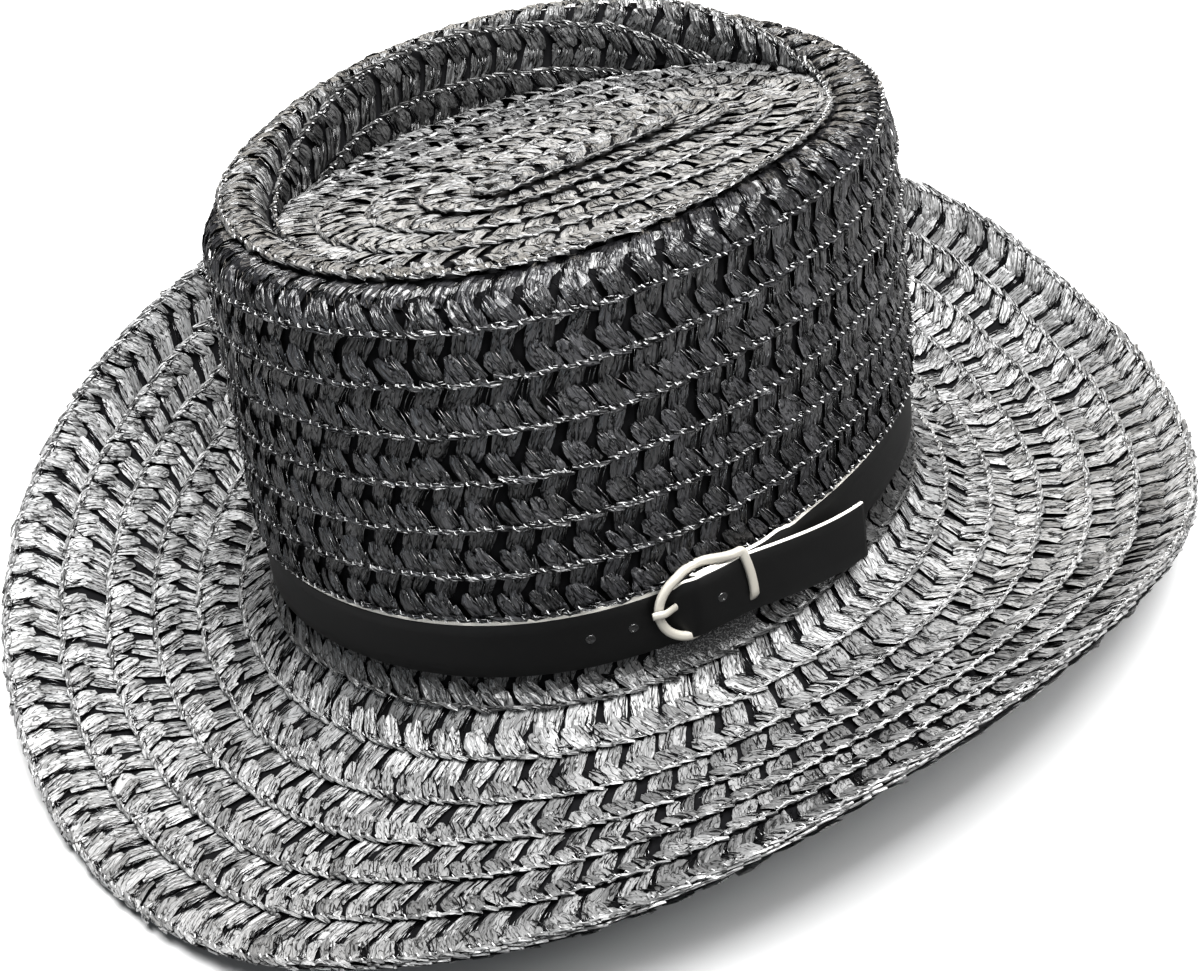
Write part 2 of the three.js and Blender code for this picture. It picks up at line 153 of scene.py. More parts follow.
# The underside's strands lie this far within the wall and stop this far short of a row's edge
UNDER_INSET = 0.5
UNDER_MARGIN = 1.8

# The underside's strands reach this far below the solids, and the table lies under them
FLOOR_DROP = 1.6


# The form of the hat

def around(column, angle):
    """A table's column that goes round the hat in even steps, smoothly between its rows."""
    values = np.asarray(column, float)
    count = len(values)
    turn = np.mod(np.asarray(angle) / TURN, 1) * count
    row = np.floor(turn).astype(int)
    share = turn - row
    a, b, c, d = (values[(row + step) % count] for step in (-1, 0, 1, 2))
    bend = 2 * a - 5 * b + 4 * c - d + share * (3 * (b - c) + d - a)
    return b + 0.5 * share * (c - a + share * bend)


def smooth(value, low, high):
    share = np.clip((value - low) / (high - low), 0, 1)
    return share * share * (3 - 2 * share)


def points(x, y, z):
    return np.stack(np.broadcast_arrays(x, y, z), -1).astype(float)


def oval(half_width, half_length, angle, height):
    full = 1 + OVAL_FULLNESS * (1 - np.cos(4 * angle)) / 2
    return points(half_width * full * np.cos(angle), half_length * full * np.sin(angle), height)


def side_point(angle, height, inset=0.0):
    """The outside of the crown's wall, drawn in under the belt."""
    share = height / CROWN_HEIGHT
    recess = BELT_RECESS * (1 - smooth(height, STRAP_TOP + GAP, STRAP_TOP + GAP + ROW_LIP))
    grown = 4 * SIDE_BULGE * share * (1 - share) - recess - inset
    half_width = FOOT_WIDTH / 2 - TAPER_WIDTH * share + grown
    half_length = FOOT_LENGTH / 2 - TAPER_LENGTH * share + grown
    lean = points(LEAN_LEFT * share, -LEAN_FRONT * share, 0 * share)
    return oval(half_width, half_length, angle, height) + lean


def side_outward(angle):
    step = 0.001
    ends = [oval(FOOT_WIDTH / 2, FOOT_LENGTH / 2, angle + turn, 0) for turn in (-step, step)]
    along = ends[1] - ends[0]
    along /= np.linalg.norm(along, axis=-1, keepdims=True)
    return points(along[..., 1], -along[..., 0], 0)


def tip_height(x, y):
    """The sunken tip's plane, which leans with the crown."""
    level = CROWN_HEIGHT - TIP_SINK
    return level + x * math.tan(TIP_RISE_LEFT) - y * math.tan(TIP_RISE_FRONT)


def rim_points(angle):
    """The crown's profile from its foot over the rolled rim to the crease of the tip."""
    top = CROWN_HEIGHT * around(RIM["top"], angle)
    shoulder = top - RIM_RADIUS
    places = [side_point(angle, shoulder * step / 60) for step in range(60)]
    for step in range(13):
        turn = math.pi / 2 * step / 12
        place = side_point(angle, shoulder, RIM_RADIUS * (1 - math.cos(turn)))
        place[..., 2] = shoulder + RIM_RADIUS * math.sin(turn)
        places.append(place)
    roll = RIM_ROLL * around(RIM["roll"], angle)
    crease = side_point(angle, shoulder, RIM_RADIUS + roll)
    low = tip_height(crease[..., 0], crease[..., 1])
    for step in range(1, 15):
        ease = math.pi / 2 * step / 14
        place = side_point(angle, shoulder, RIM_RADIUS + roll * math.sin(ease))
        place[..., 2] = top + (low - top) * (1 - math.cos(ease))
        places.append(place)
    return np.array(places)


def brim_points(angle, strides=88):
    """The brim's profile from the foot of the crown to the edge."""
    width = BRIM_WIDTH * around(BRIM["width"], angle)
    stops = list(BRIM_STOPS.items())
    outward = side_outward(angle)
    foot = side_point(angle, 0 * angle)
    out, up = 0 * angle, 0 * angle - GAP / 2
    places = [foot + points(0, 0, up)]
    for stride in range(strides):
        share = (stride + 0.5) / strides
        last = next(index for index, (_, stop) in enumerate(stops) if stop >= share)
        (low_name, low), (high_name, high) = stops[last - 1], stops[last]
        mixed = (share - low) / (high - low)
        slope = around(BRIM[low_name], angle) * (1 - mixed) + around(BRIM[high_name], angle) * mixed
        out = out + width / strides * np.cos(np.radians(slope))
        up = up + width / strides * np.sin(np.radians(slope))
        places.append(foot + outward * out[..., None] + points(0, 0, up))
    return np.array(places)


class Face:
    """A face of the hat that braid lies on, as points by angle and by distance across the rows."""

    def __init__(self, place, first, last, angles=720, step=0.5):
        self.first, self.step = first, step
        self.distances = np.arange(first, last + step, step)
        self.angles = np.arange(angles) * TURN / angles
        self.points = place(self.angles, self.distances)
        along = np.roll(self.points, -1, 0) - np.roll(self.points, 1, 0)
        across = np.gradient(self.points, axis=1)
        normals = np.cross(across, along)
        self.normals = normals / np.maximum(np.linalg.norm(normals, axis=-1, keepdims=True), 1e-9)

    def at(self, angle, distance, lift):
        """Places over the face, with the lift along its outward direction."""
        turn = np.mod(angle / TURN, 1) * len(self.angles)
        row = np.floor(turn).astype(int) % len(self.angles)
        row_share = (turn - np.floor(turn))[..., None]
        place = np.clip((distance - self.first) / self.step, 0, len(self.distances) - 1.001)
        column = np.floor(place).astype(int)
        share = (place - column)[..., None]
        following = (row + 1) % len(self.angles)

        def blend(grid):
            near = grid[row, column] * (1 - share) + grid[row, column + 1] * share
            far = grid[following, column] * (1 - share) + grid[following, column + 1] * share
            return near * (1 - row_share) + far * row_share

        return blend(self.points) + blend(self.normals) * np.asarray(lift)[..., None]


def by_length(profile, distances):
    """Points at the given distances along a profile whose last place is at distance 0."""
    lengths = np.linalg.norm(np.diff(profile, axis=0), axis=-1)
    run = np.concatenate([np.zeros((1, profile.shape[1])), np.cumsum(lengths, 0)])
    made = np.empty((profile.shape[1], len(distances), 3))
    for index in range(profile.shape[1]):
        for axis in range(3):
            made[index, :, axis] = np.interp(distances, run[:, index], profile[:, index, axis])
    return made, run[-1]


def crown_grid(angles, distances):
    """Distance is counted down the crown, 0 at its foot, so it is negative here."""
    return by_length(rim_points(angles), -distances)[0]


def crown_length(angle):
    profile = rim_points(angle)
    return np.linalg.norm(np.diff(profile, axis=0), axis=-1).sum(0)


def brim_grid(angles, distances):
    profile = brim_points(angles)
    beyond = profile[-1] + 4 * (profile[-1] - profile[-3])
    return by_length(np.concatenate([profile, beyond[None]]), distances)[0]


def foot_grid(angles, distances):
    """The crown's foot and the brim's inner part as one face, distance 0 where they meet."""
    above = crown_grid(angles, distances[distances < 0])
    return np.concatenate([above, brim_grid(angles, distances[distances >= 0])], axis=1)


# The tip's braid is wound round a slot, from its front end to its back end
SLOT_ENDS = np.array([[10.0, -30.0], [19.0, 24.0]])


def tip_grid(angles, distances):
    middle = SLOT_ENDS.mean(0)
    half = (SLOT_ENDS[1] - SLOT_ENDS[0]) / 2
    swing = np.tanh(2.6 * np.sin(angles)) / math.tanh(2.6)
    x = middle[0] + half[0] * swing[:, None] + distances[None] * np.cos(angles)[:, None]
    y = middle[1] + half[1] * swing[:, None] + distances[None] * np.sin(angles)[:, None]
    bearing = np.arctan2(y - TIP_MIDDLE[1], x - TIP_MIDDLE[0])
    reach = np.hypot(x - TIP_MIDDLE[0], y - TIP_MIDDLE[1])
    limit = crease_reach(bearing)
    over = np.maximum(reach - limit, 0)
    kept = np.minimum(reach, limit)
    x = TIP_MIDDLE[0] + kept * np.cos(bearing)
    y = TIP_MIDDLE[1] + kept * np.sin(bearing)
    return points(x, y, tip_height(x, y) - 0.6 * over)


CREASE = rim_points(np.arange(720) * TURN / 720)[-1]
TIP_MIDDLE = CREASE[:, :2].mean(0)
CREASE_BEARING = np.arctan2(CREASE[:, 1] - TIP_MIDDLE[1], CREASE[:, 0] - TIP_MIDDLE[0])
CREASE_REACH = np.hypot(CREASE[:, 1] - TIP_MIDDLE[1], CREASE[:, 0] - TIP_MIDDLE[0])


def crease_reach(bearing):
    order = np.argsort(CREASE_BEARING)
    return np.interp(bearing, CREASE_BEARING[order], CREASE_REACH[order], period=TURN)


# Meshes

def row_frame(places):
    """Millimetres of the hat's frame to metres of the row's frame."""
    turn = np.array(REST_TURN.to_matrix())
    return (places @ turn.T + np.array(REST_SHIFT)) * MM


def mesh_piece(name, places, faces, uvs=None, shades=None, faceted=False):
    """A piece from points and from arrays of faces, each array with one number of corners."""
    places = row_frame(np.asarray(places, float).reshape(-1, 3))
    corners = np.concatenate([np.asarray(part).ravel() for part in faces])
    totals = np.concatenate([np.full(len(part), np.asarray(part).shape[1]) for part in faces])
    mesh = bpy.data.meshes.new(name)
    mesh.vertices.add(len(places))
    mesh.vertices.foreach_set("co", places.astype(np.float32).ravel())
    mesh.loops.add(len(corners))
    mesh.loops.foreach_set("vertex_index", corners.astype(np.int32))
    mesh.polygons.add(len(totals))
    starts = np.concatenate([[0], np.cumsum(totals)[:-1]])
    mesh.polygons.foreach_set("loop_start", starts.astype(np.int32))
    mesh.update(calc_edges=True)
    mesh.polygons.foreach_set("use_smooth", np.full(len(totals), not faceted))
    if uvs is not None:
        layer = mesh.uv_layers.new(name="strand_uv")
        layer.data.foreach_set("uv", np.asarray(uvs, np.float32).reshape(-1, 2)[corners].ravel())
    if shades is not None:
        layer = mesh.attributes.new("shade", "FLOAT", "POINT")
        layer.data.foreach_set("value", np.asarray(shades, np.float32).ravel())
    made = bpy.data.objects.new(name, mesh)
    bpy.context.scene.collection.objects.link(made)
    return made


def tube_faces(rings, sides, closed=False):
    """Faces of one tube of rings, capped at both ends unless it is closed into a loop."""
    ring = np.arange(rings if closed else rings - 1)[:, None]
    side = np.arange(sides)[None]
    after = (ring + 1) % rings
    beside = (side + 1) % sides
    walls = np.stack([
        ring * sides + side, ring * sides + beside,
        after * sides + beside, after * sides + side,
    ], -1).reshape(-1, 4)
    if closed:
        return [walls]
    first = np.arange(sides)[::-1][None]
    last = (rings - 1) * sides + np.arange(sides)[None]
    return [walls, np.concatenate([first, last])]


# Braid

# A flat strand's section, across its width and through its thickness, with a crease on its face
RIBBON_SECTION = [(-1, 0), (-0.42, 1), (0.12, 0.35), (0.5, 1.1), (1, 0), (0.1, -1)]
# The edge that each of the section's places is mapped towards
RIBBON_EDGES = [-1, -1, 1, 1, 1, -1]
FILAMENT_RADIUS = 0.17
THREAD_RADIUS = 0.19


def ribbon(line, half_widths, thickness=0.16, crown=0.2):
    """One flat strand: rings of six points round its line, in (along, across the row, lift)."""
    line = np.asarray(line, float)
    heading = np.gradient(line[:, :2], axis=0)
    heading /= np.linalg.norm(heading, axis=1, keepdims=True)
    across = np.stack([-heading[:, 1], heading[:, 0]], 1)
    rings = np.empty((len(line), len(RIBBON_SECTION), 3))
    for corner, (place, level) in enumerate(RIBBON_SECTION):
        width = np.asarray(half_widths, float) * place
        rings[:, corner, :2] = line[:, :2] + across * width[:, None]
        rings[:, corner, 2] = line[:, 2] + level * (crown if level > 0 else thickness)
    return rings


def filament(line, radius, sides=3):
    """One bare round strand, in (along, across the row, lift)."""
    line = np.asarray(line, float)
    heading = np.gradient(line[:, :2], axis=0)
    heading /= np.linalg.norm(heading, axis=1, keepdims=True)
    across = np.stack([-heading[:, 1], heading[:, 0]], 1)
    rings = np.empty((len(line), sides, 3))
    for side in range(sides):
        turn = TURN * (side + 0.25) / sides
        rings[:, side, :2] = line[:, :2] + across * radius * math.cos(turn)
        rings[:, side, 2] = line[:, 2] + radius * math.sin(turn)
    return rings[:, ::-1]


def along_line(start, end, lifts, bow=0.0):
    """A line between two places with a lift at each of its points."""
    count = len(lifts)
    share = np.linspace(0, 1, count)
    line = np.outer(1 - share, start) + np.outer(share, end)
    line[:, 0] += bow * np.sin(math.pi * share)
    return np.column_stack([line, lifts])


def flat_strands(fill):
    """The flat strands of one repeat, in pairs that lean one way above and the other way below."""
    made = []
    spread, half = 1.3 * fill, 1.42 * fill
    for side in (-1, 1):
        lower = along_line((0.4 + side * spread, 5.8 - 0.6 * side), (4.2 + side * spread, 13.0),
                           [0.2, 0.66, 0.74, 0.6, 0.3], bow=-0.35)
        made.append(ribbon(lower, np.array([0.5, 1.08, 1.12, 1.04, 0.8]) * half))
        upper = along_line((5.3 + side * spread, -0.4), (2.2 + side * spread, 7.4),
                           [0.1, 0.4, 0.4, -0.1], bow=-0.25)
        made.append(ribbon(upper, np.array([0.95, 1.15, 1.15, 0.8]) * half))
    fold = along_line((4.4 + 1.2 * fill, 9.2), (5.0 + 1.5 * fill, 13.0), [0.35, 0.85, 0.7])
    made.append(ribbon(fold, np.array([0.12, 0.9, 1.1])))
    for start in (0.2, 4.5):
        edge = [[start, 12.75, 0.35], [start + 2.7, 13.3, 0.95], [start + 5.4, 13.85, 0.4]]
        made.append(ribbon(edge, np.array([0.45, 0.8, 0.45]), 0.4, 0.3))
    return made


def rope_strands():
    """Strands that turn over the brim's edge and hide its thickness, like the lay of a rope."""
    made = []
    for lift, out in ((0.2, 13.5), (-0.6, 13.6)):
        for start in (0.0, 4.35):
            line = [[start, out - 0.3, lift], [start + 2.6, out, lift], [start + 5.2, out + 0.2, lift - 0.2]]
            made.append(ribbon(line, np.array([0.35, 0.6, 0.35]), 0.35, 0.3))
    return made


def coarse_strands():
    """The strands of one repeat as they show on the inside, in one flat piece for each pair."""
    lower = along_line((0.3, 5.4), (4.3, 13.6), [0.1, 0.5, 0.2], bow=-0.3)
    upper = along_line((4.65, -0.2), (2.8, 7.2), [0.0, 0.35, 0.0], bow=-0.25)
    return [ribbon(lower, [2.2, 3.2, 2.9]), ribbon(upper, [2.9, 3.1, 2.4])]


def bare_strands():
    """The bare glossy strands of one repeat, seen in the gaps between the flat ones."""
    lines = []
    for place in (3.3, 4.4, 5.4):
        lines.append(along_line((place, 5.8), (place + 3.9, 12.7), [0.3, 1.0, 0.6], bow=0.4))
    for place in (7.9, 8.9, 9.9):
        lines.append(along_line((place, 0.3), (place - 2.4, 6.6), [0.1, 0.75, 0.6], bow=-0.3))
    lines.append(along_line((7.9, 9.3), (7.3, 13.0), [0.3, 0.8, 0.9]))
    for level in (0, 1):
        along, across = 5.7 + 0.2 * level, 12.0 + 0.6 * level
        lines.append(along_line((along, across), (along + 3.9, across + 0.3), [0.5, 1.15, 0.5]))
    return [filament(line, FILAMENT_RADIUS) for line in lines]


def stitches():
    """The sewing thread where it comes up through the outer edge of a row, three times a repeat."""
    made = []
    for place in (0.8, 3.7, 6.6):
        line = [[place, 12.5, 0.75], [place + 0.45, 12.95, 1.35], [place + 0.9, 13.4, 0.75]]
        made.append(filament(line, THREAD_RADIUS))
    return made


def shingle(across, slope):
    """How a row rises from its inner line, tucked under the row before, to its outer edge."""
    share = np.clip(across / PITCH, -0.1, 1.1)
    return slope * (-ROW_TUCK + ROW_CLIMB * np.maximum(share, 0) ** 1.4)


def row_run(face, top, bottom):
    """The length run along a row's middle line at each of the face's angles and at the full turn."""
    middle = (top(face.angles) + bottom(face.angles)) / 2
    trace = face.at(face.angles, middle, 0 * middle)
    trace = np.concatenate([trace, trace[:1]])
    return np.concatenate([[0], np.cumsum(np.linalg.norm(np.diff(trace, axis=0), axis=1))])


def stray(rings, repeats, draw):
    """A row's copies of one strand, each a little out of place, as (along, across the row, lift)."""
    centre = rings.mean((0, 1))
    from_line = rings - rings.mean(1, keepdims=True)
    shift = draw.normal(0, 1, (repeats, 3)) * STRAY
    swing = draw.normal(0, SWING, repeats)
    grown = 1 + draw.normal(0, GROWTH, repeats)
    lean = draw.normal(0, LEAN, repeats)
    local = rings[None] - centre
    wide = local[..., 0] + from_line[None, ..., 0] * (grown - 1)[:, None, None]
    high = local[..., 1] + from_line[None, ..., 1] * (grown - 1)[:, None, None]
    cos, sin = np.cos(swing)[:, None, None], np.sin(swing)[:, None, None]
    along = centre[0] + wide * cos - high * sin + shift[:, 0, None, None]
    across = centre[1] + wide * sin + high * cos + shift[:, 1, None, None]
    lift = rings[None, ..., 2] + shift[:, 2, None, None]
    return along, across, lift + from_line[None, ..., 0] * lean[:, None, None]


def strand_map(rings):
    """Millimetres along and across one strand for each of its points."""
    sides = rings.shape[1]
    steps = np.linalg.norm(np.diff(rings.mean(1), axis=0), axis=1)
    along = np.concatenate([[0], np.cumsum(steps)])[:, None] * np.ones(sides)
    reach = np.linalg.norm((rings - rings.mean(1, keepdims=True))[..., :2], axis=-1)
    edges = np.array(RIBBON_EDGES) if sides == len(RIBBON_SECTION) else 1
    return np.stack([along, reach * edges], -1)


def lay(face, rows, strands, seed, keep=None, rough=0.1, under=False):
    """Lays every strand of the repeat along all of the rows, and gives one joined mesh's arrays."""
    draw = np.random.default_rng(seed)
    turns = np.concatenate([face.angles, [TURN]])
    all_points, all_uvs, all_shades, all_faces = [], [], [], []
    count = 0
    for top, bottom, slope in rows:
        run = row_run(face, top, bottom)
        repeats = max(6, round(run[-1] / REPEAT))
        stretch = run[-1] / (repeats * REPEAT)
        first = draw.uniform(0, REPEAT)
        for rings in strands:
            along, across, lift = stray(rings, repeats, draw)
            along = (along + np.arange(repeats)[:, None, None] * REPEAT + first) * stretch
            angle = np.interp(np.mod(along, run[-1]), run, turns)
            lift = shingle(across, slope) + lift
            if under:
                lift = UNDER_INSET - WALL - lift
                across = np.minimum(across, PITCH - UNDER_MARGIN)
            high_line, low_line = top(angle), bottom(angle)
            distance = high_line + (low_line - high_line) * across / PITCH
            made = face.at(angle, distance, lift)
            made = made + draw.normal(0, rough, made.shape)
            if keep is not None:
                made = made[keep(angle.mean((1, 2)), distance.mean((1, 2)))]
            number, size, sides = made.shape[:3]
            if number == 0:
                continue
            uvs = strand_map(rings)[None] + draw.uniform(0, MAP_SPREAD, (number, 1, 1, 2))
            offsets = count + np.arange(number)[:, None, None] * size * sides
            for faces in tube_faces(size, sides):
                turned = faces[:, ::-1] if under else faces
                all_faces.append((turned[None] + offsets).reshape(-1, faces.shape[1]))
            all_points.append(made.reshape(-1, 3))
            all_uvs.append(uvs.reshape(-1, 2))
            all_shades.append(np.repeat(draw.uniform(0, 1, number), size * sides))
            count += number * size * sides
    return np.concatenate(all_points), all_faces, np.concatenate(all_uvs), np.concatenate(all_shades)


def braid_piece(name, face, rows, strands, seed, **settings):
    """A piece of laid strands. Flat ones keep their creases sharp, and round ones are smooth."""
    places, faces, uvs, shades = lay(face, rows, strands, seed, **settings)
    flat = strands[0].shape[1] == len(RIBBON_SECTION)
    return mesh_piece(name, places, faces, uvs, shades, faceted=flat)


def line_at(value):
    return lambda angle: value + 0 * angle


def brim_line(share):
    return lambda angle: BRIM_LINE + (BRIM_WIDTH * around(BRIM["width"], angle) - BRIM_LINE) * share


def shell_piece(name, face, lines, depth, wall, slope=1.0):
    """The dark ground behind the strands: a closed wall that steps down from row to row."""
    sides = 180
    angle = np.arange(sides) * TURN / sides
    rings = []
    for top, bottom in zip(lines[:-1], lines[1:]):
        for across in (0.02, 0.5, 0.97):
            distance = top(angle) + (bottom(angle) - top(angle)) * across
            lift = shingle(across * PITCH, slope) - depth
            rings.append(face.at(angle, distance, lift + 0 * angle))
    under = []
    for number, line in enumerate(lines[::-1]):
        thinned = 0.55 if number == 0 else 1.0
        under.append(face.at(angle, line(angle), 0 * angle - wall * thinned))
    rings = np.array(rings + under)
    return mesh_piece(name, rings[:, ::-1], tube_faces(len(rings), sides, closed=True))


# Belt and buckle

TRACE_ANGLES = BUCKLE_TOWARD + np.linspace(0, TURN, 2881)
TRACE_RUN = np.concatenate([[0], np.cumsum(np.linalg.norm(
    np.diff(side_point(TRACE_ANGLES, 0 * TRACE_ANGLES), axis=0), axis=1))])
WHOLE = TRACE_RUN[-1]


def foot_angle(distance):
    return np.interp(np.mod(distance, WHOLE), TRACE_RUN, TRACE_ANGLES)


def beside(distance, level, height):
    """Places beside the crown: along its foot from the buckle's bar, out from its wall, and up."""
    distance, level, height = np.broadcast_arrays(*(np.asarray(v, float) for v in (distance, level, height)))
    angle = foot_angle(distance)
    wall = side_point(angle, np.minimum(height, STRAP_TOP + GAP))
    place = wall + side_outward(angle) * level[..., None]
    place[..., 2] = height
    return place


STRAP_LEVEL = GAP + STRAP_THICKNESS / 2
BAR_LEVEL = max(2 * GAP + STRAP_THICKNESS + BAR_RADIUS, BELT_RECESS + GAP + FRAME_THICKNESS / 2)
LOOP_RADIUS = BAR_RADIUS + GAP + STRAP_THICKNESS / 2
TAIL_LEVEL = BAR_LEVEL + LOOP_RADIUS + STRAP_THICKNESS + GAP
KEEPER_LEVEL = TAIL_LEVEL + STRAP_THICKNESS / 2 + GAP + FRAME_THICKNESS / 2
ROUND_END_LEVEL = BAR_LEVEL + ROUND_END_RISE


def mix(low, high, share):
    return low + (high - low) * share


def spline(line, finer):
    """More places on a smooth curve through the given ones."""
    line = np.asarray(line, float)
    count = len(line)
    made = []
    for index in range(count - 1):
        a, b = line[max(0, index - 1)], line[index]
        c, d = line[index + 1], line[min(count - 1, index + 2)]
        for step in range(finer):
            t = step / finer
            made.append(b + 0.5 * t * (c - a + t * (2 * a - 5 * b + 4 * c - d + t * (3 * (b - c) + d - a))))
    made.append(line[-1])
    return np.array(made)


def belt_line():
    """The belt's middle line: round the bar, round the crown, under the round end, over the bar."""
    line = [(distance, BAR_LEVEL - LOOP_RADIUS) for distance in (FOLD_LENGTH, FOLD_LENGTH / 2, 0)]
    for turn in np.radians([30, 60, 90, 120, 150]):
        line.append((-LOOP_RADIUS * math.sin(turn), BAR_LEVEL - LOOP_RADIUS * math.cos(turn)))
    line += [(distance, BAR_LEVEL + LOOP_RADIUS) for distance in (0, FOLD_LENGTH / 2, FOLD_LENGTH)]
    settled = FOLD_LENGTH + 24
    for past, sunk in ((5, 0.2), (10, 0.5), (15, 0.8), (19, 0.94)):
        line.append((FOLD_LENGTH + past, mix(BAR_LEVEL + LOOP_RADIUS, STRAP_LEVEL, sunk)))
    returned = WHOLE - 0.74 * FRAME_ROUND_END
    line += [(mix(settled, returned, span / 76), STRAP_LEVEL) for span in range(77)]
    for share, risen in ((0.59, 0.1), (0.456, 0.27), (0.29, 0.6), (0.16, 0.87)):
        line.append((WHOLE - share * FRAME_ROUND_END, mix(STRAP_LEVEL, TAIL_LEVEL, risen)))
    line += [(WHOLE + place, TAIL_LEVEL) for place in (0, 6, FRAME_KEEPER, 20, 30, 40, 50, TAIL_LENGTH)]
    return spline(line, 4)


def belt_droop(distance):
    """How far the free end hangs below the belt's line, from the keeper on."""
    free = distance - WHOLE - FRAME_KEEPER
    return np.where(free > 0, TAIL_DROOP * free / (TAIL_LENGTH - FRAME_KEEPER), 0)


def belt_rise(distance):
    """How far the belt is drawn up at a distance from the bar, where it passes through the buckle."""
    near = np.mod(distance + WHOLE / 2, WHOLE) - WHOLE / 2
    return BUCKLE_RISE * smooth(near, -9, 1) * (1 - smooth(near, 8, 58))


def strap_layer(name, inner, outer, low_trim, high_trim):
    """A layer of the belt between two depths of its thickness, with its edges trimmed back."""
    line = belt_line()
    heading = np.gradient(line, axis=0)
    heading /= np.linalg.norm(heading, axis=1, keepdims=True)
    # Only what stands off the crown's wall at the buckle is drawn up
    raised = belt_rise(line[:, 0]) * smooth(line[:, 1], 0.9, 3.6)
    middle = STRAP_MIDDLE - belt_droop(line[:, 0]) + raised
    low = low_trim - STRAP_WIDTH / 2
    # The upper edge is trimmed less on the free end, where less of the pale core shows
    high = STRAP_WIDTH / 2 - high_trim * (1 - 0.6 * smooth(line[:, 1], 1.5, 4.0))
    soft = min(0.25, (outer - inner) * 0.6)
    section = [
        (outer, low + soft), (outer, low * 0.5), (outer, 0), (outer, high * 0.5), (outer, high - soft),
        (outer - soft * 0.6, high), (inner, high), (inner, 0), (inner, low), (outer - soft * 0.6, low),
    ]
    rings = np.empty((len(line), len(section), 3))
    for corner, (depth, height) in enumerate(section):
        distance = line[:, 0] - depth * heading[:, 1]
        level = line[:, 1] + depth * heading[:, 0]
        rings[:, corner] = beside(distance, level + STRAP_PROUD, middle + height)
    return mesh_piece(name, rings[::-1], tube_faces(len(rings), len(section)))


def frame_level(distance):
    """How far the frame stands off the wall from its round end over the bar to the keeper."""
    to_round_end = smooth(-distance, 0, 0.45 * FRAME_ROUND_END)
    to_keeper = smooth(distance, 1.5, FRAME_KEEPER - 1)
    return BAR_LEVEL + ROUND_END_RISE * to_round_end + (KEEPER_LEVEL - BAR_LEVEL) * to_keeper


def wire(line, width, thickness, loop=False, on_edge=False, sides=12, square=2.6):
    """A flat wire with rounded edges along places of distance, level and height."""
    line = np.asarray(line, float)
    middle = beside(line[:, 0], line[:, 1], line[:, 2])
    if loop:
        along = np.roll(middle, -1, 0) - np.roll(middle, 1, 0)
    else:
        along = np.gradient(middle, axis=0)
    along /= np.linalg.norm(along, axis=1, keepdims=True)
    outward = side_outward(foot_angle(line[:, 0]))
    across = np.tile([0.0, 0, 1], (len(line), 1)) if on_edge else np.cross(along, outward)
    across /= np.linalg.norm(across, axis=1, keepdims=True)
    up = np.cross(across, along)
    rings = np.empty((len(line), sides, 3))
    for side in range(sides):
        turn = TURN * (side + 0.5) / sides
        cos, sin = math.cos(turn), math.sin(turn)
        out = (abs(cos) ** square + abs(sin) ** square) ** (-1 / square)
        rings[:, side] = middle + across * width / 2 * out * cos + up * thickness / 2 * out * sin
    return rings[:, ::-1]


def buckle_place(distance, level, height):
    """A place of the buckle, from its own upright middle to the raised and rolled one."""
    cos, sin = math.cos(BUCKLE_ROLL), math.sin(BUCKLE_ROLL)
    return (distance * cos - height * sin, level, STRAP_MIDDLE + BUCKLE_RISE + distance * sin + height * cos)


def frame_outline():
    """The frame's middle line: the keeper, the upper side, the round end and the lower side."""
    half = (FRAME_HEIGHT - FRAME_WIRE) / 2
    round_centre = -FRAME_ROUND_END + FRAME_WIRE / 2 + half
    corner = 0.7
    outline = [(FRAME_KEEPER + KEEPER_BOW * (1 - (height / half) ** 2), height)
               for height in np.linspace(-half + corner, half - corner, 14)]
    for turn in np.radians([20, 45, 70]):
        outline.append((FRAME_KEEPER - corner + corner * math.cos(turn),
                        half - corner + corner * math.sin(turn)))
    outline += [(place, half) for place in np.linspace(FRAME_KEEPER - corner, round_centre, 12)]
    for turn in np.radians(np.arange(98, 270, 8)):
        outline.append((round_centre + half * math.cos(turn), half * math.sin(turn)))
    outline += [(place, -half) for place in np.linspace(round_centre, FRAME_KEEPER - corner, 12)]
    for turn in np.radians([290, 315, 340]):
        outline.append((FRAME_KEEPER - corner + corner * math.cos(turn),
                        -half + corner + corner * math.sin(turn)))
    places = []
    for distance, height in outline:
        # The lower side stays behind the belt's free end until it meets the keeper
        rising = distance if height > 0 else min(distance, mix(distance, 0, smooth(-height, 4, 10)))
        places.append(buckle_place(distance, float(frame_level(rising)), height))
    return places


def prong_line():
    """The pin's middle line: an eye round the bar, then out to its tip on the round end."""
    eye_radius = BAR_RADIUS + GAP + PRONG_THICKNESS / 2
    tip_level = ROUND_END_LEVEL + FRAME_THICKNESS / 2 + GAP + PRONG_THICKNESS / 2
    line = []
    for turn in np.radians(np.arange(130, -131, -20)):
        line.append((eye_radius * math.cos(turn), BAR_LEVEL + eye_radius * math.sin(turn)))
    for share, risen in ((0.31, -0.25), (0.44, -0.2), (0.59, 0.2), (0.73, 0.72), (0.84, 1)):
        line.append((-share * FRAME_ROUND_END, mix(BAR_LEVEL, tip_level, risen)))
    line.append((-PRONG_REACH, tip_level))
    fine = spline(line, 3)
    return [buckle_place(distance, level, 2.6 * smooth(-distance, 5, 13)) for distance, level in fine]


# A hole's rim from outside to its floor: radius as a share of BELT_HOLE, height over the belt in mm
HOLE_RIM = [(0.8, -0.1), (0.7, 0.2), (0.52, 0.2), (0.44, 0.03)]


